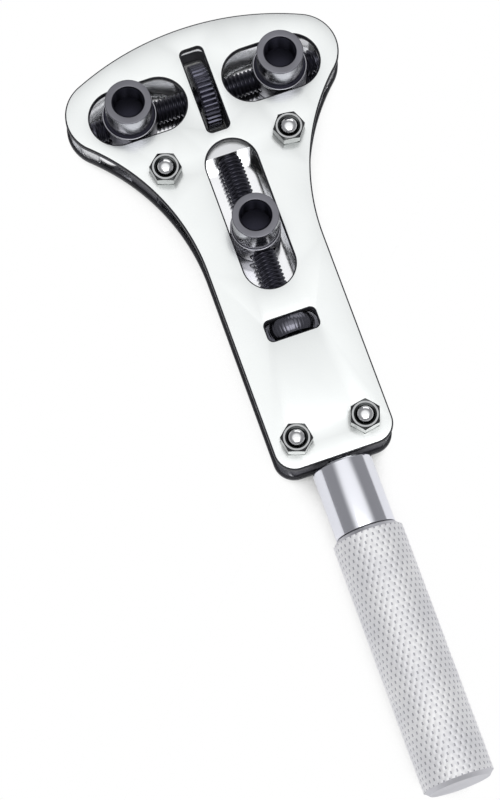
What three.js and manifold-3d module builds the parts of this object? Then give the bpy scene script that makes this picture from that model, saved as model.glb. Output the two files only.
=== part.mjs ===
// Adjustable three-jaw watch case back opener.
// Millimetres, +X right, +Y towards the head, +Z up. The origin is on the resting plane, in the
// middle of the tool's length and width.

import * as THREE from 'three';
import { mergeVertices } from 'three/addons/utils/BufferGeometryUtils.js';
import Module from 'manifold-3d';

const wasm = await Module();
wasm.setup();

// ---- Driving dimensions -------------------------------------------------------------------

// Heights of the stack, from the resting plane up.
const SCREW_HEAD_HEIGHT = 3.5;
const PLATE_THICKNESS = 1.8;
const PLATE_GAP = 6.6;
const NUT_HEIGHT = 3.2;

// Lengths along the tool, measured down from the top edge of the head.
const TOTAL_LENGTH = 192;
const PLATE_LENGTH = 111.7;
const LATERAL_AXIS_DOWN = 16.5;
const HEAD_SCREW_DOWN = 32.8;
const LONG_SLOT_START_DOWN = 30.1;
const LONG_SLOT_END_DOWN = 68.5;
const CENTRE_JAW_DOWN = 52.8;
const LONG_WHEEL_DOWN = 78.2;
const TAIL_SCREW_DOWN = 105;
const NECK_START_DOWN = 112.7;
const GRIP_START_DOWN = 129.8;

// Plate outline: a shallow crown, round ears, concave flanks and straight sides.
const CROWN_RADIUS = 69;
const EAR_RADIUS = 9.5;
const FLANK_RADIUS = 53;
const FLANK_END_DOWN = 60;
const SIDE_HALF_WIDTH = 14.45;
const TAIL_CORNER_RADIUS = 5;

// Openings in the plates.
const LATERAL_SLOT_WIDTH = 13.4;
const LONG_SLOT_WIDTH = 12.4;
const LATERAL_SLOT_INNER = 4.9;
const LATERAL_SLOT_OUTER = 28.5;
const LATERAL_WINDOW = { width: 5.4, length: 21.5, corner: 1.2 };
const LONG_WINDOW = { width: 12.4, length: 4.9, corner: 1.2 };

// Threads are plain cylinders at their outer size.
const SPINDLE_RADIUS = 2.95;
const JOURNAL_RADIUS = 2;
const SCREW_RADIUS = 1.95;
const SCREW_HEAD_RADIUS = 3.5;
const NUT_ACROSS_FLATS = 6.7;
const CLEARANCE = 0.3;

// Jaws.
const LATERAL_JAW_X = 18.9;
const SLOT_PLAY = 0.2;
const FLANGE_HEIGHT = 0.7;
const HOLDER_RADIUS = 5.55;
const HOLDER_HEIGHT = 8.4;
const SOCKET_RADIUS = 3.85;
const SOCKET_DEPTH = 7.6;
const HOLDER_CHAMFER = 0.3;

// Thumbwheels.
const LATERAL_WHEEL = { radius: 8.1, thickness: 4, chamfer: 0.4 };
const LONG_WHEEL = { radius: 6.7, thickness: 4.1, chamfer: 0.8 };

// Handle.
const NECK_RADIUS = 7.2;
const NECK_CHAMFER = 0.4;
const GRIP_RADIUS = 8.5;
const GRIP_CHAMFER = 1;
const STUB_RADIUS = 2.4;
const STUB_END_GAP = 2;
const TENON_RADIUS = 4;
const TENON_LENGTH = 18;

// Screws: place across the tool, place down the tool, and how far the nut is turned.
const SCREWS = [
  { x: -15.4, down: HEAD_SCREW_DOWN, nutTurn: -19 },
  { x: 15.4, down: HEAD_SCREW_DOWN, nutTurn: -7 },
  { x: -8.4, down: TAIL_SCREW_DOWN, nutTurn: -19 },
  { x: 8.4, down: TAIL_SCREW_DOWN, nutTurn: 11 },
];

// ---- Worked out from them -----------------------------------------------------------------

const BOTTOM_PLATE_Z = SCREW_HEAD_HEIGHT;
const GAP_Z = BOTTOM_PLATE_Z + PLATE_THICKNESS;
const MID_Z = GAP_Z + PLATE_GAP / 2;
const TOP_PLATE_Z = GAP_Z + PLATE_GAP;
const DECK_Z = TOP_PLATE_Z + PLATE_THICKNESS;
const LATERAL_Y = fromTop(LATERAL_AXIS_DOWN);

// Sides of a full turn, for turned parts and for screws and their holes.
const ROUND_STEPS = 40;
const SMALL_STEPS = 20;

function fromTop(down) {
  return TOTAL_LENGTH / 2 - down;
}

// ---- Materials ----------------------------------------------------------------------------

function metal(name, color, roughness) {
  return new THREE.MeshStandardMaterial({ name, color, roughness, metalness: 1 });
}

const mirrorChrome = metal('mirror_chrome', 0xeef0f1, 0.06);
const nutChrome = metal('nut_chrome', 0xc9cccd, 0.16);
const blackOxide = metal('black_oxide', 0x2b2c35, 0.35);
const holderBlack = metal('holder_black', 0x5a5b64, 0.35);
const blockSteel = metal('block_steel', 0xb9bbbd, 0.3);
const neckChrome = metal('neck_chrome', 0xe4e6e9, 0.12);
const gripSteel = metal('grip_steel', 0xc6c7cb, 0.4);

// ---- Small geometry helpers ---------------------------------------------------------------

// Points along an arc, both ends included; angles in radians, signed sweep.
function arc(centreX, centreY, radius, start, end, steps) {
  const points = [];
  for (let i = 0; i <= steps; i += 1) {
    const angle = start + ((end - start) * i) / steps;
    points.push(new THREE.Vector2(centreX + radius * Math.cos(angle), centreY + radius * Math.sin(angle)));
  }
  return points;
}

// Leaves out a point that repeats the one before it, also across the closing edge.
function tidyLoop(points) {
  const kept = [];
  for (const point of points) {
    const last = kept[kept.length - 1];
    if (!last || last.distanceTo(point) > 1e-4) {
      kept.push(point);
    }
  }
  if (kept[0].distanceTo(kept[kept.length - 1]) < 1e-4) {
    kept.pop();
  }
  return kept;
}

// A rectangle with round corners, centred on a point, as an anticlockwise loop.
function roundedRectangle(centreX, centreY, width, height, corner, steps = 6) {
  const x = width / 2 - corner;
  const y = height / 2 - corner;
  const quarter = Math.PI / 2;
  return tidyLoop([
    ...arc(centreX + x, centreY - y, corner, -quarter, 0, steps),
    ...arc(centreX + x, centreY + y, corner, 0, quarter, steps),
    ...arc(centreX - x, centreY + y, corner, quarter, 2 * quarter, steps),
    ...arc(centreX - x, centreY - y, corner, 2 * quarter, 3 * quarter, steps),
  ]);
}

function circle(centreX, centreY, radius) {
  return tidyLoop(arc(centreX, centreY, radius, 0, 2 * Math.PI, SMALL_STEPS));
}

// A flat solid from z = 0 up, with holes through it.
function slab(outline, holes, height) {
  const shape = new THREE.Shape(outline);
  for (const hole of holes) {
    shape.holes.push(new THREE.Path(hole));
  }
  return new THREE.ExtrudeGeometry(shape, { depth: height, bevelEnabled: false });
}

// A turned solid about the Z axis; the profile is [radius, z] pairs and ends on the axis.
function turned(profile, steps = ROUND_STEPS) {
  const points = profile.map(([radius, z]) => new THREE.Vector2(radius, z));
  const geometry = new THREE.LatheGeometry(points, steps);
  geometry.rotateX(Math.PI / 2);
  return geometry;
}

function toSolid(geometry) {
  const bare = geometry.index ? geometry.toNonIndexed() : geometry.clone();
  bare.deleteAttribute('normal');
  bare.deleteAttribute('uv');
  const merged = mergeVertices(bare, 1e-5);
  const corners = [];
  const index = merged.index.array;
  for (let i = 0; i < index.length; i += 3) {
    const [a, b, c] = [index[i], index[i + 1], index[i + 2]];
    if (a !== b && b !== c && c !== a) {
      corners.push(a, b, c);
    }
  }
  const mesh = new wasm.Mesh({
    numProp: 3,
    vertProperties: new Float32Array(merged.attributes.position.array),
    triVerts: new Uint32Array(corners),
  });
  return new wasm.Manifold(mesh);
}

function toGeometry(solid) {
  const mesh = solid.getMesh();
  const geometry = new THREE.BufferGeometry();
  geometry.setAttribute('position', new THREE.BufferAttribute(new Float32Array(mesh.vertProperties), 3));
  geometry.setIndex(Array.from(mesh.triVerts));
  geometry.computeVertexNormals();
  return geometry;
}

function cut(geometry, ...tools) {
  return toGeometry(tools.reduce((solid, tool) => solid.subtract(toSolid(tool)), toSolid(geometry)));
}

function common(geometry, other) {
  return toGeometry(toSolid(geometry).intersect(toSolid(other)));
}

function named(name, geometry, material) {
  const mesh = new THREE.Mesh(geometry, material);
  mesh.name = name;
  return mesh;
}

// ---- Plates -------------------------------------------------------------------------------

// Where two circles meet; the meeting point with the larger y.
function upperMeeting(a, radiusA, b, radiusB) {
  const between = new THREE.Vector2().subVectors(b, a);
  const distance = between.length();
  const along = (distance ** 2 + radiusA ** 2 - radiusB ** 2) / (2 * distance);
  const aside = Math.sqrt(radiusA ** 2 - along ** 2);
  const unit = between.clone().normalize();
  const foot = a.clone().addScaledVector(unit, along);
  const across = new THREE.Vector2(-unit.y, unit.x).multiplyScalar(aside);
  return across.y > 0 ? foot.add(across) : foot.sub(across);
}

// The plate's outline, drawn in by an inset; every arc keeps its centre.
function plateOutline(inset = 0) {
  const crown = new THREE.Vector2(0, fromTop(CROWN_RADIUS));
  const flank = new THREE.Vector2(SIDE_HALF_WIDTH + FLANK_RADIUS, fromTop(FLANK_END_DOWN));
  const ear = upperMeeting(crown, CROWN_RADIUS - EAR_RADIUS, flank, FLANK_RADIUS + EAR_RADIUS);
  const tail = new THREE.Vector2(
    SIDE_HALF_WIDTH - TAIL_CORNER_RADIUS,
    fromTop(PLATE_LENGTH) + TAIL_CORNER_RADIUS,
  );
  const flankToEar = Math.atan2(ear.y - flank.y, ear.x - flank.x);
  const crownToEar = Math.atan2(ear.y - crown.y, ear.x - crown.x);
  const right = [
    ...arc(tail.x, tail.y, TAIL_CORNER_RADIUS - inset, -Math.PI / 2, 0, 6),
    ...arc(flank.x, flank.y, FLANK_RADIUS + inset, Math.PI, flankToEar, 14),
    ...arc(ear.x, ear.y, EAR_RADIUS - inset, flankToEar - Math.PI, crownToEar, 14),
    ...arc(crown.x, crown.y, CROWN_RADIUS - inset, crownToEar, Math.PI / 2, 8),
  ];
  const left = right.map((point) => new THREE.Vector2(-point.x, point.y)).reverse();
  return tidyLoop([...right, ...left]);
}

function wheelWindow(y, { width, length, corner }) {
  return roundedRectangle(0, y, width, length, corner);
}

function wheelWindows() {
  return [wheelWindow(LATERAL_Y, LATERAL_WINDOW), wheelWindow(fromTop(LONG_WHEEL_DOWN), LONG_WINDOW)];
}

function jawSlots() {
  const lateralLength = LATERAL_SLOT_OUTER - LATERAL_SLOT_INNER;
  const lateralX = (LATERAL_SLOT_OUTER + LATERAL_SLOT_INNER) / 2;
  const longLength = LONG_SLOT_END_DOWN - LONG_SLOT_START_DOWN;
  const longY = fromTop((LONG_SLOT_START_DOWN + LONG_SLOT_END_DOWN) / 2);
  return [
    roundedRectangle(-lateralX, LATERAL_Y, lateralLength, LATERAL_SLOT_WIDTH, LATERAL_SLOT_WIDTH / 2),
    roundedRectangle(lateralX, LATERAL_Y, lateralLength, LATERAL_SLOT_WIDTH, LATERAL_SLOT_WIDTH / 2),
    roundedRectangle(0, longY, LONG_SLOT_WIDTH, longLength, LONG_SLOT_WIDTH / 2),
  ];
}

function screwHoles() {
  return SCREWS.map(({ x, down }) => circle(x, fromTop(down), SCREW_RADIUS + CLEARANCE));
}

function topPlate() {
  const holes = [...jawSlots(), ...wheelWindows(), ...screwHoles()];
  const mesh = named('top_plate', slab(plateOutline(), holes, PLATE_THICKNESS), mirrorChrome);
  mesh.position.z = TOP_PLATE_Z;
  return mesh;
}

function bottomPlate() {
  const holes = [...wheelWindows(), ...screwHoles()];
  const mesh = named('bottom_plate', slab(plateOutline(), holes, PLATE_THICKNESS), mirrorChrome);
  mesh.position.z = BOTTOM_PLATE_Z;
  return mesh;
}

// ---- Screws and nuts ----------------------------------------------------------------------

const SCREW_DOME_HEIGHT = 1;
const SCREW_SLOT = { width: 1, depth: 1.3 };

function screwGeometry() {
  const shankTop = DECK_Z + NUT_HEIGHT;
  const dome = arc(0, shankTop, 1, 0, Math.PI / 2, 4).map(({ x, y }) => [
    SCREW_RADIUS * x,
    shankTop + (y - shankTop) * SCREW_DOME_HEIGHT,
  ]);
  dome[dome.length - 1][0] = 0;
  const body = turned([
    [0, 0],
    [SCREW_HEAD_RADIUS, 0],
    [SCREW_HEAD_RADIUS, SCREW_HEAD_HEIGHT],
    [SCREW_RADIUS, SCREW_HEAD_HEIGHT],
    ...dome,
  ], SMALL_STEPS);
  const slot = new THREE.BoxGeometry(3 * SCREW_HEAD_RADIUS, SCREW_SLOT.width, 2 * SCREW_SLOT.depth);
  return cut(body, slot);
}

function nutGeometry() {
  const cornerRadius = NUT_ACROSS_FLATS / Math.sqrt(3);
  const hexagon = tidyLoop(arc(0, 0, cornerRadius, 0, 2 * Math.PI, 6));
  return slab(hexagon, [circle(0, 0, SCREW_RADIUS + CLEARANCE)], NUT_HEIGHT);
}

function fasteners() {
  const group = new THREE.Group();
  SCREWS.forEach(({ x, down, nutTurn }, i) => {
    const screw = named(`plate_screw_${i + 1}`, screwGeometry(), nutChrome);
    screw.position.set(x, fromTop(down), 0);
    const nut = named(`hex_nut_${i + 1}`, nutGeometry(), nutChrome);
    nut.position.set(x, fromTop(down), DECK_Z);
    nut.rotation.z = THREE.MathUtils.degToRad(nutTurn);
    group.add(screw, nut);
  });
  return group;
}

// ---- Blocks between the plates ------------------------------------------------------------

const EDGE_INSET = 0.6;
const BLOCK_CORNER = 0.4;
const SPACER = { length: 13, width: 8 };
const LATERAL_BEARING = { inner: 28.4, outer: 31.7, length: 12.5 };
const LONG_BEARING_FRONT = { start: 28.6, end: 33, width: 12 };
const LONG_BEARING_REAR = { start: 82.2, end: 86.6, width: 14 };
const TAIL_BLOCK = { start: 97.5, width: 24, corner: 2 };

// Keeps a block inside the plates' outline, a little in from the edge.
function insideOutline(geometry) {
  return common(geometry, slab(plateOutline(EDGE_INSET), [], PLATE_GAP));
}

// A hole along X or Y, at the middle of the gap, long enough to pass through anything.
function crossHole(radius, length, alongX) {
  const hole = new THREE.CylinderGeometry(radius, radius, length, ROUND_STEPS);
  return alongX ? hole.rotateZ(Math.PI / 2) : hole;
}

function spacer(name, { x, down }) {
  const side = Math.sign(x);
  const { length, width } = SPACER;
  const middle = x + (side * (length - width)) / 2;
  const outline = roundedRectangle(middle, fromTop(down), length, width, width / 2);
  const bar = slab(outline, [circle(x, fromTop(down), SCREW_RADIUS + CLEARANCE)], PLATE_GAP);
  const mesh = named(name, insideOutline(bar), blackOxide);
  mesh.position.z = GAP_Z;
  return mesh;
}

function lateralBearing(name, side) {
  const { inner, outer, length } = LATERAL_BEARING;
  const middle = (side * (inner + outer)) / 2;
  const outline = roundedRectangle(middle, LATERAL_Y, outer - inner, length, BLOCK_CORNER, 1);
  const block = slab(outline, [], PLATE_GAP);
  const hole = crossHole(JOURNAL_RADIUS + CLEARANCE, 4 * outer, true);
  hole.translate(0, LATERAL_Y, PLATE_GAP / 2);
  const mesh = named(name, cut(insideOutline(block), hole), blockSteel);
  mesh.position.z = GAP_Z;
  return mesh;
}

function longBearing(name, { start, end, width }) {
  const middle = fromTop((start + end) / 2);
  const block = slab(roundedRectangle(0, middle, width, end - start, BLOCK_CORNER, 1), [], PLATE_GAP);
  const hole = crossHole(JOURNAL_RADIUS + CLEARANCE, 4 * (end - start), false);
  hole.translate(0, middle, PLATE_GAP / 2);
  const mesh = named(name, cut(block, hole), blockSteel);
  mesh.position.z = GAP_Z;
  return mesh;
}

function tailBlock() {
  const end = PLATE_LENGTH - EDGE_INSET;
  const length = end - TAIL_BLOCK.start;
  const middle = fromTop((end + TAIL_BLOCK.start) / 2);
  const outline = roundedRectangle(0, middle, TAIL_BLOCK.width, length, TAIL_BLOCK.corner);
  const tailScrews = SCREWS.filter(({ down }) => down === TAIL_SCREW_DOWN);
  const holes = tailScrews.map(({ x, down }) => circle(x, fromTop(down), SCREW_RADIUS + CLEARANCE));
  const bore = crossHole(STUB_RADIUS + CLEARANCE, 2 * length, false);
  bore.translate(0, middle, PLATE_GAP / 2);
  const mesh = named('tail_block', cut(slab(outline, holes, PLATE_GAP), bore), blackOxide);
  mesh.position.z = GAP_Z;
  return mesh;
}

// ---- Spindles and thumbwheels -------------------------------------------------------------

const JOURNAL_END_PLAY = 0.3;

// A threaded rod along Z with a plain journal at each end.
function spindleGeometry(low, threadLow, threadHigh, high) {
  return turned([
    [0, low],
    [JOURNAL_RADIUS, low],
    [JOURNAL_RADIUS, threadLow],
    [SPINDLE_RADIUS, threadLow],
    [SPINDLE_RADIUS, threadHigh],
    [JOURNAL_RADIUS, threadHigh],
    [JOURNAL_RADIUS, high],
    [0, high],
  ]);
}

// A wheel about Z, centred on the origin, with chamfered edges and a bore.
function wheelGeometry({ radius, thickness, chamfer }) {
  const half = thickness / 2;
  const bore = SPINDLE_RADIUS + CLEARANCE;
  return turned([
    [bore, -half],
    [radius - chamfer, -half],
    [radius, chamfer - half],
    [radius, half - chamfer],
    [radius - chamfer, half],
    [bore, half],
    [bore, -half],
  ]);
}

// Built along Z and turned to lie along X, from the left bearing to the right one.
function lateralDrive() {
  const { inner, outer } = LATERAL_BEARING;
  const group = new THREE.Group();
  const thread = inner - JOURNAL_END_PLAY;
  const reach = outer - JOURNAL_END_PLAY;
  group.add(named('lateral_spindle', spindleGeometry(-reach, -thread, thread, reach), blackOxide));
  group.add(named('lateral_thumbwheel', wheelGeometry(LATERAL_WHEEL), blackOxide));
  group.position.set(0, LATERAL_Y, MID_Z);
  group.rotation.y = Math.PI / 2;
  return group;
}

// Built along Z about the wheel's middle and turned so that Z points to the handle.
function longDrive() {
  const group = new THREE.Group();
  const ahead = (down) => down - LONG_WHEEL_DOWN;
  const spindle = spindleGeometry(
    ahead(LONG_BEARING_FRONT.start + JOURNAL_END_PLAY),
    ahead(LONG_BEARING_FRONT.end + JOURNAL_END_PLAY),
    ahead(LONG_BEARING_REAR.start - JOURNAL_END_PLAY),
    ahead(LONG_BEARING_REAR.end - JOURNAL_END_PLAY),
  );
  group.add(named('long_spindle', spindle, blackOxide));
  group.add(named('long_thumbwheel', wheelGeometry(LONG_WHEEL), blackOxide));
  group.position.set(0, fromTop(LONG_WHEEL_DOWN), MID_Z);
  group.rotation.x = Math.PI / 2;
  return group;
}

// ---- Jaws ---------------------------------------------------------------------------------

// Round block in the slot, bored across for the spindle; its own z = 0 is the spindle's axis.
function carrierGeometry(radius, alongX) {
  const low = CLEARANCE - PLATE_GAP / 2;
  const high = DECK_Z - FLANGE_HEIGHT - MID_Z;
  const block = turned([[0, low], [radius, low], [radius, high], [0, high]]);
  return cut(block, crossHole(SPINDLE_RADIUS + CLEARANCE, 4 * radius, alongX));
}

// Flanged socket; its own z = 0 is the plate's upper face.
function holderGeometry(flangeRadius) {
  return turned([
    [0, -FLANGE_HEIGHT],
    [flangeRadius, -FLANGE_HEIGHT],
    [flangeRadius, -HOLDER_CHAMFER],
    [flangeRadius - HOLDER_CHAMFER, 0],
    [HOLDER_RADIUS, 0],
    [HOLDER_RADIUS, HOLDER_HEIGHT - HOLDER_CHAMFER],
    [HOLDER_RADIUS - HOLDER_CHAMFER, HOLDER_HEIGHT],
    [SOCKET_RADIUS, HOLDER_HEIGHT],
    [SOCKET_RADIUS, HOLDER_HEIGHT - SOCKET_DEPTH],
    [0, HOLDER_HEIGHT - SOCKET_DEPTH],
  ]);
}

function jaw(side, x, y, alongX) {
  const group = new THREE.Group();
  const radius = (alongX ? LATERAL_SLOT_WIDTH : LONG_SLOT_WIDTH) / 2 - SLOT_PLAY;
  const carrier = named(`jaw_carrier_${side}`, carrierGeometry(radius, alongX), blackOxide);
  carrier.position.z = MID_Z;
  const holder = named(`bit_holder_${side}`, holderGeometry(radius), holderBlack);
  holder.position.z = DECK_Z;
  group.add(carrier, holder);
  group.position.set(x, y, 0);
  return group;
}

// ---- Handle -------------------------------------------------------------------------------

// Both are built along Z, from the plates to the end of the handle, then laid along -Y.
function handle() {
  const group = new THREE.Group();
  const neckLength = GRIP_START_DOWN - NECK_START_DOWN;
  const gripLength = TOTAL_LENGTH - GRIP_START_DOWN;
  const stubLength = NECK_START_DOWN - TAIL_BLOCK.start - STUB_END_GAP;
  const neckEnd = neckLength - CLEARANCE;
  const neck = turned([
    [0, -stubLength],
    [STUB_RADIUS, -stubLength],
    [STUB_RADIUS, 0],
    [NECK_RADIUS - NECK_CHAMFER, 0],
    [NECK_RADIUS, NECK_CHAMFER],
    [NECK_RADIUS, neckEnd],
    [TENON_RADIUS, neckEnd],
    [TENON_RADIUS, neckEnd + TENON_LENGTH],
    [0, neckEnd + TENON_LENGTH],
  ]);
  const bore = TENON_RADIUS + CLEARANCE;
  const boreDepth = TENON_LENGTH + 2 * CLEARANCE;
  const grip = turned([
    [0, boreDepth],
    [bore, boreDepth],
    [bore, 0],
    [GRIP_RADIUS - GRIP_CHAMFER, 0],
    [GRIP_RADIUS, GRIP_CHAMFER],
    [GRIP_RADIUS, gripLength - GRIP_CHAMFER],
    [GRIP_RADIUS - GRIP_CHAMFER, gripLength],
    [0, gripLength],
  ]);
  const gripMesh = named('handle_grip', grip, gripSteel);
  gripMesh.position.z = neckLength;
  group.add(named('handle_neck', neck, neckChrome), gripMesh);
  group.position.set(0, fromTop(NECK_START_DOWN), MID_Z);
  group.rotation.x = Math.PI / 2;
  return group;
}

// ---- The whole tool -----------------------------------------------------------------------

const opener = new THREE.Group();
opener.add(topPlate(), bottomPlate(), fasteners());
opener.add(spacer('spacer_left', SCREWS[0]), spacer('spacer_right', SCREWS[1]));
opener.add(lateralBearing('lateral_bearing_left', -1), lateralBearing('lateral_bearing_right', 1));
opener.add(longBearing('long_bearing_front', LONG_BEARING_FRONT));
opener.add(longBearing('long_bearing_rear', LONG_BEARING_REAR));
opener.add(tailBlock(), lateralDrive(), longDrive());
opener.add(jaw('left', -LATERAL_JAW_X, LATERAL_Y, true));
opener.add(jaw('right', LATERAL_JAW_X, LATERAL_Y, true));
opener.add(jaw('centre', 0, fromTop(CENTRE_JAW_DOWN), false));
opener.add(handle());

export default opener;
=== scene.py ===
"""The looks of an adjustable case back opener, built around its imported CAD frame.

Metres, in the CAD's frame: +X right, +Y towards the head, +Z up, the tool lying on z = 0.
"""

import math

import bmesh
import bpy
from mathutils import Matrix, Vector


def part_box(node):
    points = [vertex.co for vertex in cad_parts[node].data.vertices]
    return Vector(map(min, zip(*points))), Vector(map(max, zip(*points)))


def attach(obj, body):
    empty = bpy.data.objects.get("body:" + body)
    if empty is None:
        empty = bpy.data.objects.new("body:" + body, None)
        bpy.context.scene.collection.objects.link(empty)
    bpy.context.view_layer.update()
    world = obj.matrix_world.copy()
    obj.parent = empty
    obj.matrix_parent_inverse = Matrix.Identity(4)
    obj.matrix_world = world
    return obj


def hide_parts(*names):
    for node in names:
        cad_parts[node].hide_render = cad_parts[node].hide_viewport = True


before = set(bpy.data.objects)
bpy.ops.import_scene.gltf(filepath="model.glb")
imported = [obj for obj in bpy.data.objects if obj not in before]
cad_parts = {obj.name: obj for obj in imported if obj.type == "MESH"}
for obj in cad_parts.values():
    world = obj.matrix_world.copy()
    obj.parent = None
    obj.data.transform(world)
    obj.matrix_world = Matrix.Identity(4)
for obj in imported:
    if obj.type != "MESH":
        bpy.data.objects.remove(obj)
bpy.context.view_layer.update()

MM = 0.001

# ---- Driving dimensions, in metres ----------------------------------------------------------

TOTAL_LENGTH = 192 * MM
PLATE_LENGTH = 111.7 * MM
CROWN_RADIUS = 69 * MM
EAR_RADIUS = 9.5 * MM
FLANK_RADIUS = 53 * MM
FLANK_END_DOWN = 60 * MM
SIDE_HALF_WIDTH = 14.45 * MM
TAIL_CORNER_RADIUS = 5 * MM
PLATE_EDGE = 0.35 * MM
# Widths of the painted shade along the inner side of the plates' outline and of the wheel windows.
OUTLINE_SHADE_MARGIN = 0.6 * MM
WINDOW_SHADE_MARGIN = 2.2 * MM

LATERAL_AXIS_DOWN = 16.5 * MM
LATERAL_SLOT_WIDTH = 13.4 * MM
LONG_SLOT_WIDTH = 12.4 * MM
SLOT_PLAY = 0.2 * MM
LATERAL_SLOT = (4.9 * MM, 28.5 * MM)
LONG_SLOT_DOWN = (30.1 * MM, 68.5 * MM)
LONG_WHEEL_DOWN = 78.2 * MM
LATERAL_WINDOW = (5.4 * MM, 21.5 * MM)
LONG_WINDOW = (12.4 * MM, 4.9 * MM)
WINDOW_CORNER = 1.2 * MM
SCREW_HOLE_RADIUS = 2.25 * MM

SPINDLE_RADIUS = 2.95 * MM
SPINDLE_PITCH = 1 * MM
THREAD_DEPTH = 0.5 * MM
THREAD_STEEPNESS = 1.35
THREAD_ROOT_FLAT = 0.15
THREAD_STEPS = 8
THREAD_START = 0.05 * MM
SPINDLE_SIDES = 32
JOURNAL_RADIUS = 2 * MM
JOURNAL_CHAMFER = 0.3 * MM
LATERAL_COLLAR = 2.6 * MM
SCREW_RADIUS = 1.95 * MM
SCREW_HEAD_RADIUS = 3.5 * MM
SCREW_DOME_HEIGHT = 1 * MM
SCREW_SLOT_WIDTH = 1 * MM
SCREW_SLOT_DEPTH = 1.3 * MM
NUT_ACROSS_FLATS = 6.7 * MM
NUT_TURNS = (-19, -7, -19, 11)
NUT_CONE = math.radians(30)
NUT_CROWN = 0.93
NUT_BORE_CHAMFER = 0.45 * MM

HOLDER_RADIUS = 5.55 * MM
SOCKET_RADIUS = 3.85 * MM
SOCKET_DEPTH = 7.6 * MM
SOCKET_PITCH = 0.75 * MM
SOCKET_THREAD_DEPTH = 0.35 * MM
RIM_CORNER = 0.2 * MM
RIM_DROP = 0.05 * MM
RIM_WIDTH = 0.4 * MM
GROOVE_DROP = 0.45 * MM

# Ridge pitch and depth, the chamfer of the wheel's edges and the radius of a crowned rim, if it is one.
LATERAL_WHEEL_RIDGE = (1.3 * MM, 0.45 * MM, 0.4 * MM, None)
LONG_WHEEL_RIDGE = (0.9 * MM, 0.05 * MM, 0.8 * MM, 3.5 * MM)
RIDGE_STEEPNESS = 1.7
RIDGE_STEPS = 8
WHEEL_BORE = 3.25 * MM
WHEEL_RIM_BAND = 2.2 * MM

NECK_RADIUS = 7.2 * MM
NECK_CHAMFER = 0.4 * MM
NECK_GAP = 1 * MM
STUB_RADIUS = 2.4 * MM
TENON_RADIUS = 4 * MM
GRIP_RADIUS = 8.5 * MM
GRIP_CHAMFER = 1 * MM
GRIP_BORE_RADIUS = 4.3 * MM
GRIP_BORE_DEPTH = 18.6 * MM
KNURL_STARTS = 35
KNURL_AXIAL_PERIOD = 2.8 * MM
KNURL_DEPTH = 0.21 * MM
KNURL_SHARPNESS = 0.2
KNURL_PIT_RADIUS = 0.3 * MM
KNURL_STEPS = 8

# Gap between parts that turn against each other, and a distance too small to matter.
RUNNING_GAP = 0.3 * MM
HAIR = 0.01 * MM


def from_top(down):
    """The y of a place given by its distance down from the head's top edge."""
    return TOTAL_LENGTH / 2 - down


# ---- Camera, floor and light ----------------------------------------------------------------

CAMERA_TARGET = (-15.27 * MM, 3.75 * MM)
CAMERA_DISTANCE = 0.81
CAMERA_TILT = math.radians(15.5)
CAMERA_SWING = math.radians(19.4)
CAMERA_LENS = 157.5

# The dome's brightness at some heights along its own axis, from the horizon up.
DOME_LEAN = math.radians(-1)
DOME_BLUE = 0.012
DOME_GREYS = (
    (0.0, 0.3),
    (0.1, 0.27),
    (0.72, 0.26),
    (0.81, 0.5),
    (0.87, 0.84),
    (0.915, 0.94),
    (0.95, 0.98),
    (1.0, 1.0),
)

# Name, place, width and height in metres, and power in watts; both shine at the tool's middle.
SOFTBOXES = (
    ("key", (-0.05, -0.4, 1.2), (1.0, 0.8), 5.5),
    ("fill", (0.5, 1.0, 0.5), (0.9, 0.5), 1.4),
)

FLOOR_HALF_SIZE = 3

# How far the floor looks up for cover, the openness that reads as darkest and as white, and the
# darkest tone of the shadow painted on the floor where the camera sees it.
COVER_REACH = 20 * MM
COVER_RANGE = (0.1, 0.5)
COVER_DARKEST = 0.02


def make_camera():
    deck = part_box("top_plate")[1].z
    target = Vector((*CAMERA_TARGET, deck))
    sideways = math.sin(CAMERA_TILT)
    toward = Vector((
        -sideways * math.sin(CAMERA_SWING),
        -sideways * math.cos(CAMERA_SWING),
        math.cos(CAMERA_TILT),
    ))
    data = bpy.data.cameras.new("camera")
    data.lens = CAMERA_LENS
    data.sensor_width = 36
    data.clip_start = 0.01
    data.clip_end = 20
    camera = bpy.data.objects.new("camera", data)
    bpy.context.scene.collection.objects.link(camera)
    camera.location = target + toward * CAMERA_DISTANCE
    camera.rotation_euler = (-toward).to_track_quat("-Z", "Y").to_euler()
    bpy.context.scene.camera = camera


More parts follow.
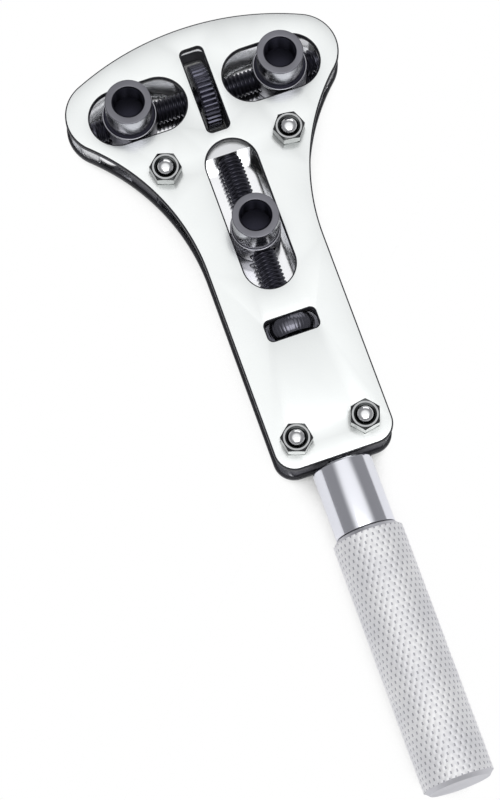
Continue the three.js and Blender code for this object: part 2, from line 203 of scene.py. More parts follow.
def make_floor():
    """White paper in the open, a painted shadow where the tool covers it, and lit plainly where metal
    mirrors it.
    """
    size = FLOOR_HALF_SIZE
    mesh = bpy.data.meshes.new("floor")
    corners = [(-size, -size, 0), (size, -size, 0), (size, size, 0), (-size, size, 0)]
    mesh.from_pydata(corners, [], [(0, 1, 2, 3)])
    floor = bpy.data.objects.new("floor", mesh)
    bpy.context.scene.collection.objects.link(floor)
    material = bpy.data.materials.new("floor_paper")
    material.use_nodes = True
    tree = material.node_tree
    paper = tree.nodes["Principled BSDF"]
    paper.inputs["Base Color"].default_value = (0.8, 0.8, 0.81, 1)
    paper.inputs["Roughness"].default_value = 0.9
    paper.inputs["Emission Color"].default_value = (1, 1, 1, 1)
    paper.inputs["Emission Strength"].default_value = 0.2
    cover = tree.nodes.new("ShaderNodeAmbientOcclusion")
    cover.inputs["Distance"].default_value = COVER_REACH
    cover.samples = 12
    shade = tree.nodes.new("ShaderNodeMapRange")
    shade.inputs["From Min"].default_value = COVER_RANGE[0]
    shade.inputs["From Max"].default_value = COVER_RANGE[1]
    shade.inputs["To Min"].default_value = COVER_DARKEST
    # The camera sees the floor as a glow whose tone is a shadow painted from the ambient occlusion.
    painted_shadow_glow = tree.nodes.new("ShaderNodeEmission")
    tree.links.new(cover.outputs["AO"], shade.inputs["Value"])
    tree.links.new(shade.outputs["Result"], painted_shadow_glow.inputs["Color"])
    ray = tree.nodes.new("ShaderNodeLightPath")
    mix = tree.nodes.new("ShaderNodeMixShader")
    tree.links.new(ray.outputs["Is Camera Ray"], mix.inputs["Fac"])
    tree.links.new(paper.outputs[0], mix.inputs[1])
    tree.links.new(painted_shadow_glow.outputs[0], mix.inputs[2])
    tree.links.new(mix.outputs[0], tree.nodes["Material Output"].inputs["Surface"])
    mesh.materials.append(material)


def make_world():
    """A soft dome: white overhead, and a grey band all round it down to the horizon."""
    world = bpy.data.worlds.new("studio")
    world.use_nodes = True
    tree = world.node_tree
    coords = tree.nodes.new("ShaderNodeTexCoord")
    height = tree.nodes.new("ShaderNodeVectorMath")
    height.operation = "DOT_PRODUCT"
    height.inputs[1].default_value = (math.sin(DOME_LEAN), 0, math.cos(DOME_LEAN))
    ramp = tree.nodes.new("ShaderNodeValToRGB")
    tree.links.new(coords.outputs["Generated"], height.inputs[0])
    tree.links.new(height.outputs["Value"], ramp.inputs[0])
    tree.links.new(ramp.outputs[0], tree.nodes["Background"].inputs["Color"])
    stops = ramp.color_ramp.elements
    for position, grey in DOME_GREYS:
        if position == 0:
            stop = stops[0]
        elif position == 1:
            stop = stops[-1]
        else:
            stop = stops.new(position)
        stop.color = (grey, grey, grey + DOME_BLUE, 1)
    tree.nodes["Background"].inputs["Strength"].default_value = 1.0
    bpy.context.scene.world = world


def make_lights():
    for name, location, (width, height), power in SOFTBOXES:
        data = bpy.data.lights.new(name, "AREA")
        data.shape = "RECTANGLE"
        data.size = width
        data.size_y = height
        data.energy = power
        light = bpy.data.objects.new(name, data)
        bpy.context.scene.collection.objects.link(light)
        light.location = location
        light.rotation_euler = (-Vector(location)).to_track_quat("-Z", "Y").to_euler()


# ---- Mesh helpers ---------------------------------------------------------------------------

def upright(origin):
    """Puts a turned shape's axis along +Z from a point."""
    return Matrix.Translation(origin)


def along_x(origin):
    return Matrix.Translation(origin) @ Matrix.Rotation(math.pi / 2, 4, "Y")


def along_y(origin):
    return Matrix.Translation(origin) @ Matrix.Rotation(-math.pi / 2, 4, "X")


def finish_piece(name, bm, material, node, body, smooth=30):
    """Turns a bmesh into a piece that stands for a CAD node and rides on its body."""
    bmesh.ops.recalc_face_normals(bm, faces=bm.faces)
    mesh = bpy.data.meshes.new(name)
    bm.to_mesh(mesh)
    bm.free()
    materials = material if isinstance(material, (list, tuple)) else [material]
    for entry in materials:
        mesh.materials.append(entry)
    mesh.polygons.foreach_set("use_smooth", [True] * len(mesh.polygons))
    mesh.set_sharp_from_angle(angle=math.radians(smooth))
    piece = bpy.data.objects.new(name, mesh)
    bpy.context.scene.collection.objects.link(piece)
    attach(piece, body)
    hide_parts(node)
    return piece


def turned(stations, steps, place, wrap=False):
    """A bmesh turned about a line. Stations are (radius, along) pairs in order.

    A radius may be a function of the angle, and a radius of zero closes the end.
    With wrap the last station joins the first, for a shape with a hole through it.
    """
    bm = bmesh.new()
    rings = []
    for radius, along in stations:
        if radius == 0:
            rings.append([bm.verts.new(place @ Vector((0, 0, along)))])
            continue
        ring = []
        for i in range(steps):
            angle = 2 * math.pi * i / steps
            r = radius(angle) if callable(radius) else radius
            ring.append(bm.verts.new(place @ Vector((r * math.cos(angle), r * math.sin(angle), along))))
        rings.append(ring)
    pairs = list(zip(rings, rings[1:]))
    if wrap:
        pairs.append((rings[-1], rings[0]))
    for low, high in pairs:
        for i in range(steps):
            j = (i + 1) % steps
            corners = [low[i % len(low)], low[j % len(low)], high[j % len(high)], high[i % len(high)]]
            bm.faces.new(list(dict.fromkeys(corners)))
    return bm


def rounded(points, radius, steps=3):
    """A profile with each inner corner rounded off by an arc's worth of points."""
    result = [points[0]]
    for before, corner, after in zip(points, points[1:], points[2:]):
        here = Vector(corner)
        back = Vector(before) - here
        ahead = Vector(after) - here
        reach = min(radius, back.length * 0.45, ahead.length * 0.45)
        start = here + back.normalized() * reach
        end = here + ahead.normalized() * reach
        for k in range(steps + 1):
            t = k / steps
            blend = start * (1 - t) ** 2 + here * 2 * t * (1 - t) + end * t ** 2
            result.append((blend.x, blend.y))
    result.append(points[-1])
    return result


def triangle_wave(turns):
    """0 at whole numbers and 1 half way between them."""
    return 1 - abs(2 * (turns % 1) - 1)


def thread_radius(crest, root, along, pitch, hand):
    """The radius of a threaded rod at one place along it, as a function of the angle."""
    def radius(angle):
        height = triangle_wave(along / pitch - hand * angle / (2 * math.pi))
        flank = THREAD_STEEPNESS * height - THREAD_ROOT_FLAT
        return root + (crest - root) * min(1, max(0, flank))
    return radius


def arc(centre, radius, start, end, steps):
    points = []
    for i in range(steps + 1):
        angle = start + (end - start) * i / steps
        points.append((centre[0] + radius * math.cos(angle), centre[1] + radius * math.sin(angle)))
    return points


def tidy_loop(points):
    """Drops a point that repeats the one before it, across the closing edge too."""
    kept = []
    for point in points:
        if not kept or math.dist(kept[-1], point) > 1e-7:
            kept.append(point)
    if math.dist(kept[0], kept[-1]) < 1e-7:
        kept.pop()
    return kept


def rounded_rectangle(centre, size, corner, grow=0.0, steps=24):
    """A rectangle with round corners, grown outwards by an amount."""
    x, y = size[0] / 2 - corner, size[1] / 2 - corner
    quarter = math.pi / 2
    points = []
    for k, (side_x, side_y) in enumerate(((1, -1), (1, 1), (-1, 1), (-1, -1))):
        middle = (centre[0] + side_x * x, centre[1] + side_y * y)
        points += arc(middle, corner + grow, (k - 1) * quarter, k * quarter, steps)
    return tidy_loop(points)


def slab(loops, low, high, edge, inner_side):
    """A flat plate with rounded edges; each loop(inset) gives the points of its outline or a hole.

    Material 0 is the outer side, 1 the cut edges with each loop's margin on the inner side, which are
    painted dark as shade, and 2 the rest of the inner side, which is "low" or "high".
    """
    bm = bmesh.new()
    steps = 4
    turn = [math.pi / 2 * k / steps for k in range(steps + 1)]
    levels = [(low + edge * (1 - math.sin(a)), edge * (1 - math.cos(a))) for a in reversed(turn)]
    levels += [(high - edge * (1 - math.sin(a)), edge * (1 - math.cos(a))) for a in turn]
    caps = {"low": [], "high": []}
    for loop, margin in loops:
        steps_in = list(levels)
        if margin and inner_side == "low":
            steps_in.insert(0, (low, margin))
        elif margin:
            steps_in.append((high, margin))
        rings = [[bm.verts.new((x, y, z)) for x, y in loop(inset)] for z, inset in steps_in]
        count = len(rings[0])
        for ring, above in zip(rings, rings[1:]):
            for i in range(count):
                j = (i + 1) % count
                face = bm.faces.new((ring[i], ring[j], above[j], above[i]))
                face.material_index = 1
        for side, ring in (("low", rings[0]), ("high", rings[-1])):
            caps[side] += [bm.edges.get((ring[i], ring[(i + 1) % count])) for i in range(count)]
    for side, edges in caps.items():
        filled = bmesh.ops.triangle_fill(bm, use_beauty=True, edges=edges, normal=(0, 0, 1))
        for part in filled["geom"]:
            if isinstance(part, bmesh.types.BMFace):
                part.material_index = 2 if side == inner_side else 0
    return bm


def carve(piece, cutter_bm):
    """Cuts a closed shape out of a piece and makes the cut part of its mesh."""
    bmesh.ops.recalc_face_normals(cutter_bm, faces=cutter_bm.faces)
    mesh = bpy.data.meshes.new("cutter")
    cutter_bm.to_mesh(mesh)
    cutter_bm.free()
    cutter = bpy.data.objects.new("cutter", mesh)
    bpy.context.scene.collection.objects.link(cutter)
    modifier = piece.modifiers.new("carve", "BOOLEAN")
    modifier.operation = "DIFFERENCE"
    modifier.solver = "EXACT"
    modifier.object = cutter
    bpy.context.view_layer.update()
    graph = bpy.context.evaluated_depsgraph_get()
    carved = bpy.data.meshes.new_from_object(piece.evaluated_get(graph))
    piece.modifiers.clear()
    piece.data = carved
    piece.data.set_sharp_from_angle(angle=math.radians(30))
    bpy.data.objects.remove(cutter)


# ---- Materials ------------------------------------------------------------------------------

def metal(name, color, roughness, spread, grain, bump, tone):
    """A metal whose roughness, tone and fine relief vary with a grain stretched along an axis."""
    material = bpy.data.materials.new(name)
    material.use_nodes = True
    tree = material.node_tree
    shader = tree.nodes["Principled BSDF"]
    shader.inputs["Metallic"].default_value = 1
    coords = tree.nodes.new("ShaderNodeTexCoord")
    stretch = tree.nodes.new("ShaderNodeMapping")
    stretch.inputs["Scale"].default_value = grain
    noise = tree.nodes.new("ShaderNodeTexNoise")
    noise.inputs["Scale"].default_value = 1
    noise.inputs["Detail"].default_value = 3
    tree.links.new(coords.outputs["Object"], stretch.inputs["Vector"])
    tree.links.new(stretch.outputs["Vector"], noise.inputs["Vector"])
    rough = tree.nodes.new("ShaderNodeMapRange")
    rough.inputs["To Min"].default_value = max(0.01, roughness - spread)
    rough.inputs["To Max"].default_value = roughness + spread
    tree.links.new(noise.outputs["Fac"], rough.inputs["Value"])
    tree.links.new(rough.outputs["Result"], shader.inputs["Roughness"])
    patches = tree.nodes.new("ShaderNodeTexNoise")
    patches.inputs["Scale"].default_value = 120
    patches.inputs["Detail"].default_value = 2
    tree.links.new(coords.outputs["Object"], patches.inputs["Vector"])
    ramp = tree.nodes.new("ShaderNodeValToRGB")
    ramp.color_ramp.elements[0].position = 0.3
    ramp.color_ramp.elements[1].position = 0.7
    ramp.color_ramp.elements[0].color = (*[c * (1 - tone) for c in color], 1)
    ramp.color_ramp.elements[1].color = (*[min(1, c * (1 + tone)) for c in color], 1)
    tree.links.new(patches.outputs["Fac"], ramp.inputs["Fac"])
    tree.links.new(ramp.outputs["Color"], shader.inputs["Base Color"])
    relief = tree.nodes.new("ShaderNodeBump")
    relief.inputs["Strength"].default_value = bump
    relief.inputs["Distance"].default_value = 0.0001
    tree.links.new(noise.outputs["Fac"], relief.inputs["Height"])
    tree.links.new(relief.outputs["Normal"], shader.inputs["Normal"])
    return material


# Name, colour, roughness and its spread, grain, relief and variation of tone. The grain is in
# noise cycles per metre along X, Y and Z.
FINE = (1500, 1500, 1500)
FINISHES = {
    "mirror": ("mirror_chrome", (0.93, 0.955, 0.94), 0.24, 0.02, (80, 80, 80), 0.0, 0.01),
    "inside": ("inner_chrome", (0.93, 0.935, 0.945), 0.1, 0.03, (300, 300, 300), 0.02, 0.03),
    # The plates' edge finish is painted shade and dark reflection.
    "edge": ("edge_painted_shade", (0.025, 0.025, 0.03), 0.45, 0.08, (1500, 1500, 200), 0.1, 0.2),
    "nut": ("nut_chrome", (0.5, 0.51, 0.51), 0.12, 0.04, FINE, 0.03, 0.04),
    # The nut's cones, side facets and bore carry painted shade and dark reflection.
    "nut_shade": ("nut_painted_shade", (0.11, 0.115, 0.115), 0.2, 0.04, FINE, 0.03, 0.04),
    "screw": ("screw_chrome", (0.93, 0.94, 0.94), 0.08, 0.03, FINE, 0.02, 0.02),
    "block": ("block_steel", (0.8, 0.81, 0.82), 0.3, 0.05, (300, 3000, 3000), 0.05, 0.04),
    "black": ("black_oxide", (0.08, 0.08, 0.1), 0.38, 0.06, FINE, 0.1, 0.2),
    "lateral_wheel": ("lateral_wheel_black", (0.07, 0.07, 0.09), 0.24, 0.04, FINE, 0.06, 0.15),
    "long_wheel": ("long_wheel_black", (0.14, 0.14, 0.165), 0.24, 0.04, FINE, 0.05, 0.15),
    # Near black: the spacers' and tail block's own colour, and painted shade in the holders' bores and
    # grooves.
    "socket": ("black_and_socket_shade", (0.035, 0.035, 0.05), 0.4, 0.06, FINE, 0.1, 0.2),
    "holder": ("holder_black", (0.2, 0.2, 0.222), 0.3, 0.05, FINE, 0.05, 0.1),
    "wall": ("holder_wall", (0.19, 0.19, 0.215), 0.26, 0.05, (300, 300, 5000), 0.06, 0.08),
    # The flange's rim is painted lighter as a highlight.
    "rim": ("flange_rim_painted_highlight", (0.4, 0.4, 0.43), 0.25, 0.04, FINE, 0.05, 0.08),
    "neck": ("neck_chrome", (0.88, 0.89, 0.94), 0.14, 0.03, (200, 6000, 200), 0.03, 0.01),
    "grip": ("grip_steel", (0.96, 0.96, 0.975), 0.74, 0.07, FINE, 0.08, 0.04),
    "end": ("grip_end", (0.68, 0.68, 0.705), 0.5, 0.05, FINE, 0.05, 0.04),
    # Painted shade in the knurl's pits.
    "pit_shade": ("grip_pit_shade", (0.55, 0.55, 0.58), 0.68, 0.07, FINE, 0.08, 0.04),
}


def make_materials():
    mats = {key: metal(*finish) for key, finish in FINISHES.items()}
    # The plates' cut edges and the strips inside along them are painted shade and dark reflection: a dull
    # dark finish, not metallic.
    edge_shade_shader = mats["edge"].node_tree.nodes["Principled BSDF"]
    edge_shade_shader.inputs["Metallic"].default_value = 0
    edge_shade_shader.inputs["Specular IOR Level"].default_value = 0.3
    return mats


# ---- Plates ---------------------------------------------------------------------------------

def upper_meeting(a, radius_a, b, radius_b):
    """Where two circles meet, at the larger y."""
    a, b = Vector(a), Vector(b)
    between = b - a
    distance = between.length
    along = (distance ** 2 + radius_a ** 2 - radius_b ** 2) / (2 * distance)
    aside = math.sqrt(radius_a ** 2 - along ** 2)
    unit = between.normalized()
    foot = a + unit * along
    across = Vector((-unit.y, unit.x)) * aside
    return max(foot + across, foot - across, key=lambda point: point.y)


def plate_outline(inset):
    """The plate's outline drawn in by an inset: crown, round ears, hollow flanks, straight sides."""
    crown = Vector((0, from_top(CROWN_RADIUS)))
    flank = Vector((SIDE_HALF_WIDTH + FLANK_RADIUS, from_top(FLANK_END_DOWN)))
    ear = upper_meeting(crown, CROWN_RADIUS - EAR_RADIUS, flank, FLANK_RADIUS + EAR_RADIUS)
    tail = (SIDE_HALF_WIDTH - TAIL_CORNER_RADIUS, from_top(PLATE_LENGTH) + TAIL_CORNER_RADIUS)
    to_ear = math.atan2(ear.y - flank.y, ear.x - flank.x)
    crown_end = math.atan2(ear.y - crown.y, ear.x - crown.x)
    right = arc(tail, TAIL_CORNER_RADIUS - inset, -math.pi / 2, 0, 24)
    right += arc(flank, FLANK_RADIUS + inset, math.pi, to_ear, 64)
    right += arc(ear, EAR_RADIUS - inset, to_ear - math.pi, crown_end, 48)
    right += arc(crown, CROWN_RADIUS - inset, crown_end, math.pi / 2, 48)
    left = [(-x, y) for x, y in reversed(right)]
    return tidy_loop(right + left)


def rectangle_hole(centre, size, corner):
    return lambda grow: rounded_rectangle(centre, size, corner, grow)


def slot_hole(centre, size):
    """A slot with round ends; its corners stay a hair apart, so that no two points coincide."""
    return rectangle_hole(centre, size, min(size) / 2 - 1e-6)


def circle_hole(centre, radius):
    return lambda grow: tidy_loop(arc(centre, radius + grow, 0, 2 * math.pi, 48))


def node_middle(node):
    low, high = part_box(node)
    return (low + high) / 2


def plate_loops(with_slots):
    """The loops of one plate, each with the width of the painted shade margin along it inside."""
    lateral_y = from_top(LATERAL_AXIS_DOWN)
    long_y = from_top(LONG_WHEEL_DOWN)
    loops = [
        (plate_outline, OUTLINE_SHADE_MARGIN),
        (rectangle_hole((0, lateral_y), LATERAL_WINDOW, WINDOW_CORNER), WINDOW_SHADE_MARGIN),
        (rectangle_hole((0, long_y), LONG_WINDOW, WINDOW_CORNER), WINDOW_SHADE_MARGIN),
    ]
    for i in range(1, 5):
        middle = node_middle(f"plate_screw_{i}")
        loops.append((circle_hole((middle.x, middle.y), SCREW_HOLE_RADIUS), 0))
    if not with_slots:
        return loops
    inner, outer = LATERAL_SLOT
    start, end = LONG_SLOT_DOWN
    for side in (-1, 1):
        middle = (side * (inner + outer) / 2, lateral_y)
        loops.append((slot_hole(middle, (outer - inner, LATERAL_SLOT_WIDTH)), 0))
    middle = (0, from_top((start + end) / 2))
    loops.append((slot_hole(middle, (LONG_SLOT_WIDTH, end - start)), 0))
    return loops


def make_plates(mats):
    finishes = [mats["mirror"], mats["edge"], mats["inside"]]
    for node, with_slots, inner_side in (("top_plate", True, "low"), ("bottom_plate", False, "high")):
        low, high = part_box(node)
        bm = slab(plate_loops(with_slots), low.z, high.z, PLATE_EDGE, inner_side)
        finish_piece(node + "_polished", bm, finishes, node, "frame", 15)


# ---- Screws and nuts ------------------------------------------------------------------------

def make_screw(index, mats):
    node = f"plate_screw_{index}"
    low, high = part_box(node)
    middle = (low + high) / 2
    head_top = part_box("bottom_plate")[0].z
    shank_top = high.z - SCREW_DOME_HEIGHT
    stations = rounded([
        (0, 0),
        (SCREW_HEAD_RADIUS, 0),
        (SCREW_HEAD_RADIUS, head_top),
        (SCREW_RADIUS, head_top),
        (SCREW_RADIUS, shank_top),
    ], 0.35 * MM)
    steps = 8
    for k in range(1, steps):
        angle = math.pi / 2 * k / steps
        stations.append((SCREW_RADIUS * math.cos(angle), shank_top + SCREW_DOME_HEIGHT * math.sin(angle)))
    stations.append((0, high.z))
    bm = turned(stations, 48, upright((middle.x, middle.y, 0)))
    piece = finish_piece(node + "_turned", bm, mats["screw"], node, "frame")
    slot = bmesh.new()
    size = (3 * SCREW_HEAD_RADIUS, SCREW_SLOT_WIDTH, 2 * SCREW_SLOT_DEPTH, 1)
    place = Matrix.Translation((middle.x, middle.y, 0)) @ Matrix.Diagonal(size)
    bmesh.ops.create_cube(slot, size=1, matrix=place)
    carve(piece, slot)


def nut_face(height, chamfer_radius, up):
    """Height of the nut's end face at a radius: flat inside, a cone outside."""
    fall = math.tan(NUT_CONE)

    def level(radius):
        drop = max(0, radius - chamfer_radius) * fall
        return height - drop if up else drop
    return level


def make_nut(index, mats):
    node = f"hex_nut_{index}"
    low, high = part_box(node)
    middle = (low + high) / 2
    half_flat = NUT_ACROSS_FLATS / 2
    height = high.z - low.z
    turn = Matrix.Rotation(math.radians(NUT_TURNS[index - 1]), 4, "Z")
    place = upright((middle.x, middle.y, low.z)) @ turn
    bore = SCREW_HOLE_RADIUS
    sink = NUT_BORE_CHAMFER
    crown = half_flat * NUT_CROWN
    steps = 96
    # The flat end faces keep the nut's colour; its cones, side facets and bore are painted darker as
    # shade and dark reflection.
    unshaded_levels = (1, 5)
    bm = bmesh.new()
    rings = []

    def hexagon(angle):
        sector = math.pi / 3
        return half_flat / math.cos((angle % sector) - sector / 2)

    def add_ring(radius_at, height_at):
        ring = []
        for i in range(steps):
            angle = 2 * math.pi * i / steps
            radius = radius_at(angle)
            point = Vector((radius * math.cos(angle), radius * math.sin(angle), height_at(radius)))
            ring.append(bm.verts.new(place @ point))
        rings.append(ring)

    below = nut_face(height, crown, False)
    above = nut_face(height, crown, True)
    add_ring(lambda angle: bore, lambda r: sink)
    add_ring(lambda angle: bore + sink, lambda r: 0)
    add_ring(lambda angle: crown, below)
    add_ring(hexagon, below)
    add_ring(hexagon, above)
    add_ring(lambda angle: crown, above)
    add_ring(lambda angle: bore + sink, lambda r: height)
    add_ring(lambda angle: bore, lambda r: height - sink)
    for level, (ring, following) in enumerate(zip(rings, rings[1:] + rings[:1])):
        for i in range(steps):
            j = (i + 1) % steps
            face = bm.faces.new((ring[i], ring[j], following[j], following[i]))
            face.material_index = 0 if level in unshaded_levels else 1
    finishes = [mats["nut"], mats["nut_shade"]]
    finish_piece(node + "_chamfered", bm, finishes, node, "frame", 20)


# ---- Jaws -----------------------------------------------------------------------------------

def flange_radius(side):
    """The radius of a jaw's round block and flange, which fit its slot."""
    slot = LONG_SLOT_WIDTH if side == "centre" else LATERAL_SLOT_WIDTH
    return slot / 2 - SLOT_PLAY


def make_holder(side, mats):
    """A flanged socket: wall, groove and threaded bore painted near black as shade, bare ring on top, and
    a rim painted lighter as a highlight.
    """
    node = f"bit_holder_{side}"
    low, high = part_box(node)
    middle = (low + high) / 2
    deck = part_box("top_plate")[1].z
    floor = high.z - SOCKET_DEPTH
    flange = flange_radius(side)
    outside = rounded([
        (0, low.z),
        (flange, low.z),
        (flange, deck - RIM_CORNER),
        (flange - 0.1 * MM, deck - RIM_DROP),
        (flange - RIM_WIDTH, deck - RIM_DROP),
        (flange - RIM_WIDTH - 0.05 * MM, deck - GROOVE_DROP),
        (HOLDER_RADIUS - 0.1 * MM, deck - GROOVE_DROP),
        (HOLDER_RADIUS, deck),
        (HOLDER_RADIUS, high.z - 0.12 * MM),
        (HOLDER_RADIUS - 0.12 * MM, high.z),
        (SOCKET_RADIUS + 0.1 * MM, high.z),
        (SOCKET_RADIUS, high.z - 0.1 * MM),
    ], 0.12 * MM)
    thread_top = high.z - 0.5 * MM
    thread_end = floor + 1.2 * MM
    count = round((thread_top - thread_end) / SOCKET_PITCH * THREAD_STEPS)
    inner = SOCKET_RADIUS - SOCKET_THREAD_DEPTH
    thread = []
    for k in range(count + 1):
        along = thread_top + (thread_end - thread_top) * k / count
        thread.append((thread_radius(SOCKET_RADIUS, inner, along, SOCKET_PITCH, 1), along))
    bottom = [(SOCKET_RADIUS, floor + 1 * MM), (SOCKET_RADIUS, floor), (0, floor)]
    bm = turned(outside + thread + bottom, 72, upright((middle.x, middle.y, 0)))
    for face in bm.faces:
        centre = face.calc_center_median()
        across = math.hypot(centre.x - middle.x, centre.y - middle.y)
        in_socket = across < SOCKET_RADIUS and centre.z > floor - HAIR
        in_groove = across > HOLDER_RADIUS - 0.2 * MM and abs(centre.z - deck + GROOVE_DROP) < HAIR
        at_rim_height = deck - RIM_CORNER - 2 * HAIR < centre.z < deck
        on_rim = across > flange - RIM_WIDTH - 2 * HAIR and at_rim_height
        # The bore and the groove are painted near black as shade in these hollows; the rim is painted
        # lighter as a highlight.
        if in_socket or in_groove:
            face.material_index = 1
        elif centre.z > high.z - HAIR:
            face.material_index = 2
        elif on_rim:
            face.material_index = 3
    finishes = [mats["wall"], mats["socket"], mats["holder"], mats["rim"]]
    finish_piece(node + "_turned", bm, finishes, node, f"jaw_{side}")


def make_carrier(side, alongside, mats):
    node = f"jaw_carrier_{side}"
    low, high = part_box(node)
    middle = (low + high) / 2
    radius = flange_radius(side)
    stations = rounded([
        (0, low.z),
        (radius, low.z),
        (radius, high.z),
        (0, high.z),
    ], 0.25 * MM)
    bm = turned(stations, 72, upright((middle.x, middle.y, 0)))
    piece = finish_piece(node + "_bored", bm, mats["black"], node, f"jaw_{side}")
    axis = node_middle("top_plate").z + node_middle("bottom_plate").z
    reach = 8 * MM
    bore = [(0, -reach), (WHEEL_BORE, -reach), (WHEEL_BORE, reach), (0, reach)]
    carve(piece, turned(bore, 48, alongside((middle.x, middle.y, axis / 2))))


# ---- Spindles and thumbwheels ---------------------------------------------------------------

def thread_stations(start, end, hand):
    """Stations of a thread from start to end, running out to the root at both."""
    root = SPINDLE_RADIUS - THREAD_DEPTH
    run_out = 0.8 * MM
    count = round(abs(end - start) / SPINDLE_PITCH * THREAD_STEPS)
    stations = []
    for k in range(count + 1):
        along = start + (end - start) * k / count
        depth = min(1, abs(along - start) / run_out, abs(end - along) / run_out)
        crest = root + THREAD_DEPTH * depth
        stations.append((thread_radius(crest, root, along, SPINDLE_PITCH, hand), along))
    return stations


def journal_stations(end, shoulder):
    """Stations of a plain journal, from the spindle's end to the shoulder where the thread begins."""
    inward = math.copysign(JOURNAL_CHAMFER, shoulder - end)
    return [
        (0, end),
        (JOURNAL_RADIUS - JOURNAL_CHAMFER, end),
        (JOURNAL_RADIUS, end + inward),
        (JOURNAL_RADIUS, shoulder),
        (SPINDLE_RADIUS - THREAD_DEPTH, shoulder),
    ]


def make_lateral_spindle(mats):
    node = "lateral_spindle"
    low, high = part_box(node)
    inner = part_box("lateral_bearing_right")[0].x - RUNNING_GAP
    stations = journal_stations(low.x, -inner)
    stations += thread_stations(-inner + THREAD_START, -LATERAL_COLLAR, -1)
    stations += thread_stations(LATERAL_COLLAR, inner - THREAD_START, 1)
    stations += journal_stations(high.x, inner)[::-1]
    middle = (low + high) / 2
    bm = turned(stations, SPINDLE_SIDES, along_x((0, middle.y, middle.z)))
    finish_piece(node + "_threaded", bm, mats["black"], node, "lateral_drive", 40)


def make_long_spindle(mats):
    node = "long_spindle"
    low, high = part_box(node)
    rear_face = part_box("long_bearing_rear")[1].y + RUNNING_GAP
    front_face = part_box("long_bearing_front")[0].y - RUNNING_GAP
    wheel_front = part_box("long_thumbwheel")[1].y + 1 * MM
    stations = journal_stations(low.y, rear_face)
    stations += thread_stations(wheel_front, front_face - THREAD_START, 1)
    stations += journal_stations(high.y, front_face)[::-1]
    middle = (low + high) / 2
    bm = turned(stations, SPINDLE_SIDES, along_y((0, 0, middle.z)))
    finish_piece(node + "_threaded", bm, mats["black"], node, "long_drive", 40)


def rim_profile(half, chamfer, crown):
    """Inset and place along the axis of each ring of a wheel's rim."""
    if crown is None:
        return [(chamfer, -half), (0, chamfer - half), (0, half - chamfer), (chamfer, half)]
    places = [half * k / 6 for k in range(-6, 7)]
    return [(crown - math.sqrt(crown ** 2 - along ** 2), along) for along in places]


def make_thumbwheel(node, body, place, radius, thickness, ridge, mats):
    """A disc with straight rounded ridges round its rim and chamfered or crowned edges."""
    pitch, depth, chamfer, crown = ridge
    ridges = round(2 * math.pi * radius / pitch)
    half = thickness / 2

    def rim(inset):
        def at(angle):
            wave = min(1, RIDGE_STEEPNESS * triangle_wave(ridges * angle / (2 * math.pi)))
            return radius - inset - depth * (1 - wave) * (1 - inset / (2 * chamfer))
        return at

    stations = [(WHEEL_BORE, -half), (radius - WHEEL_RIM_BAND, -half)]
    stations += [(rim(inset), along) for inset, along in rim_profile(half, chamfer, crown)]
    stations += [(radius - WHEEL_RIM_BAND, half), (WHEEL_BORE, half)]
    bm = turned(stations, ridges * RIDGE_STEPS, place, wrap=True)
    finish = mats["long_wheel"] if crown else mats["lateral_wheel"]
    finish_piece(node + "_ridged", bm, finish, node, body, 25)


def make_drives(mats):
    make_lateral_spindle(mats)
    make_long_spindle(mats)
    wheels = (
        ("lateral_thumbwheel", "lateral_drive", along_x, 0, LATERAL_WHEEL_RIDGE),
        ("long_thumbwheel", "long_drive", along_y, 1, LONG_WHEEL_RIDGE),
    )
    for node, body, alongside, axis, ridge in wheels:
        low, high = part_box(node)
        size = high - low
        place = alongside((low + high) / 2)
        make_thumbwheel(node, body, place, size.z / 2, size[axis], ridge, mats)


# ---- Handle ---------------------------------------------------------------------------------

def make_neck(mats):
    node = "handle_neck"
    low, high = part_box(node)
    middle = (low + high) / 2
    grip_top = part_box("handle_grip")[1].y
    plate_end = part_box("top_plate")[0].y
    start = plate_end - NECK_GAP
    shoulder = grip_top + RUNNING_GAP
    stations = rounded([
        (0, low.y),
        (TENON_RADIUS, low.y),
        (TENON_RADIUS, shoulder),
        (NECK_RADIUS, shoulder),
        (NECK_RADIUS, start - NECK_CHAMFER),
        (NECK_RADIUS - NECK_CHAMFER, start),
        (STUB_RADIUS, start),
        (STUB_RADIUS, high.y),
        (0, high.y),
    ], 0.15 * MM)
    bm = turned(stations, 128, along_y((0, 0, middle.z)))
    finish_piece(node + "_polished", bm, mats["neck"], node, "frame")


def knurl_radius(along):
    """The knurled radius at one place along the grip: two crossing families of grooves."""
    def radius(angle):
        turns = KNURL_STARTS * angle / (2 * math.pi)
        one = triangle_wave(turns + along / KNURL_AXIAL_PERIOD + 0.5)
        two = triangle_wave(turns - along / KNURL_AXIAL_PERIOD + 0.5)
        height = KNURL_SHARPNESS * min(one, two) + (1 - KNURL_SHARPNESS) * (one + two) / 2
        return GRIP_RADIUS - KNURL_DEPTH * (1 - height)
    return radius


def pit_distance(along, angle):
    """How far a place on the grip is from the nearest spot where two grooves cross."""
    turns = KNURL_STARTS * angle / (2 * math.pi)
    rows = along / KNURL_AXIAL_PERIOD
    groove_gap = 2 * math.pi * GRIP_RADIUS / KNURL_STARTS
    distances = []
    for shift in (0, 0.5):
        around = (turns + 0.5 - shift) - round(turns + 0.5 - shift)
        ahead = (rows + shift) - round(rows + shift)
        distances.append(math.hypot(around * groove_gap, ahead * KNURL_AXIAL_PERIOD))
    return min(distances)


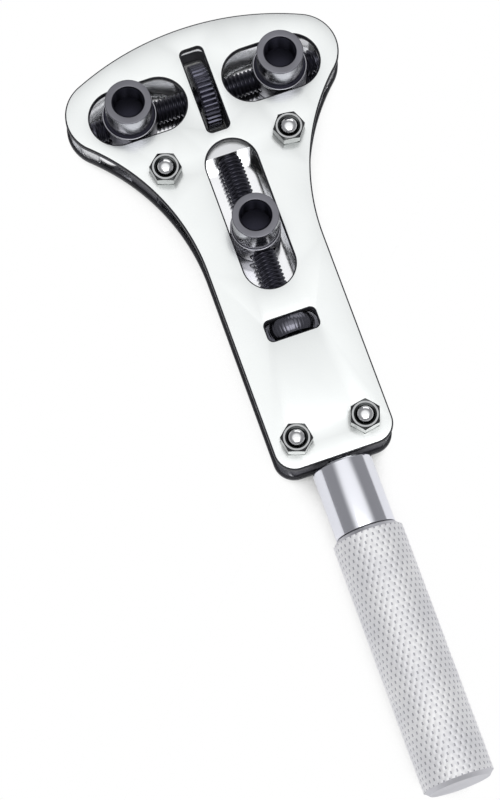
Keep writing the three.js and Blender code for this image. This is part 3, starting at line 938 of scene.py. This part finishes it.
def make_grip(mats):
    """The knurled grip, with pits painted darker as shade where its grooves cross, and plain turned ends.
    """
    node = "handle_grip"
    low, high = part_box(node)
    middle = (low + high) / 2
    plain = GRIP_RADIUS - KNURL_DEPTH
    bore_end = high.y - GRIP_BORE_DEPTH
    knurl_low = low.y + GRIP_CHAMFER
    knurl_high = high.y - GRIP_CHAMFER
    rows = round((knurl_high - knurl_low) / KNURL_AXIAL_PERIOD * KNURL_STEPS)
    stations = [(0, low.y), (plain - GRIP_CHAMFER, low.y), (plain - 0.1 * MM, knurl_low - 0.1 * MM)]
    for k in range(rows + 1):
        along = knurl_low + (knurl_high - knurl_low) * k / rows
        stations.append((knurl_radius(along - knurl_low), along))
    stations += [(plain - 0.1 * MM, knurl_high + 0.1 * MM), (plain - GRIP_CHAMFER, high.y)]
    stations += [(GRIP_BORE_RADIUS, high.y), (GRIP_BORE_RADIUS, bore_end), (0, bore_end)]
    bm = turned(stations, KNURL_STARTS * KNURL_STEPS, along_y((0, 0, middle.z)))
    to_shape = along_y((0, 0, middle.z)).inverted()
    for face in bm.faces:
        centre = to_shape @ face.calc_center_median()
        angle = math.atan2(centre.y, centre.x)
        in_pit = pit_distance(centre.z - knurl_low, angle) < KNURL_PIT_RADIUS
        knurled = math.hypot(centre.x, centre.y) > GRIP_BORE_RADIUS + HAIR
        if centre.z < knurl_low or centre.z > knurl_high:
            face.material_index = 2
        # Pits where the grooves cross are painted darker as shade.
        elif in_pit and knurled:
            face.material_index = 1
    finishes = [mats["grip"], mats["pit_shade"], mats["end"]]
    finish_piece(node + "_knurled", bm, finishes, node, "frame", 12)


# ---- Blocks that keep their CAD shape -------------------------------------------------------

def dress_blocks(mats):
    """The blocks between the plates stay as they are, with softened edges."""
    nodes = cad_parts
    blocks = {
        "spacer_left": "socket",
        "spacer_right": "socket",
        "lateral_bearing_left": "block",
        "lateral_bearing_right": "block",
        "long_bearing_front": "block",
        "long_bearing_rear": "black",
        "tail_block": "socket",
    }
    for name, finish in blocks.items():
        block = nodes[name]
        block.data.materials.clear()
        block.data.materials.append(mats[finish])
        soften = block.modifiers.new("soften", "BEVEL")
        soften.width = 0.2 * MM
        soften.segments = 2
        soften.limit_method = "ANGLE"
        soften.angle_limit = math.radians(40)


# ---- Assembly -------------------------------------------------------------------------------

make_camera()
make_floor()
make_world()
make_lights()
bpy.context.scene.view_settings.view_transform = "Standard"
materials = make_materials()
make_plates(materials)
for number in range(1, 5):
    make_screw(number, materials)
    make_nut(number, materials)
make_drives(materials)
for side, alongside in (("left", along_x), ("right", along_x), ("centre", along_y)):
    make_carrier(side, alongside, materials)
    make_holder(side, materials)
make_neck(materials)
make_grip(materials)
dress_blocks(materials)
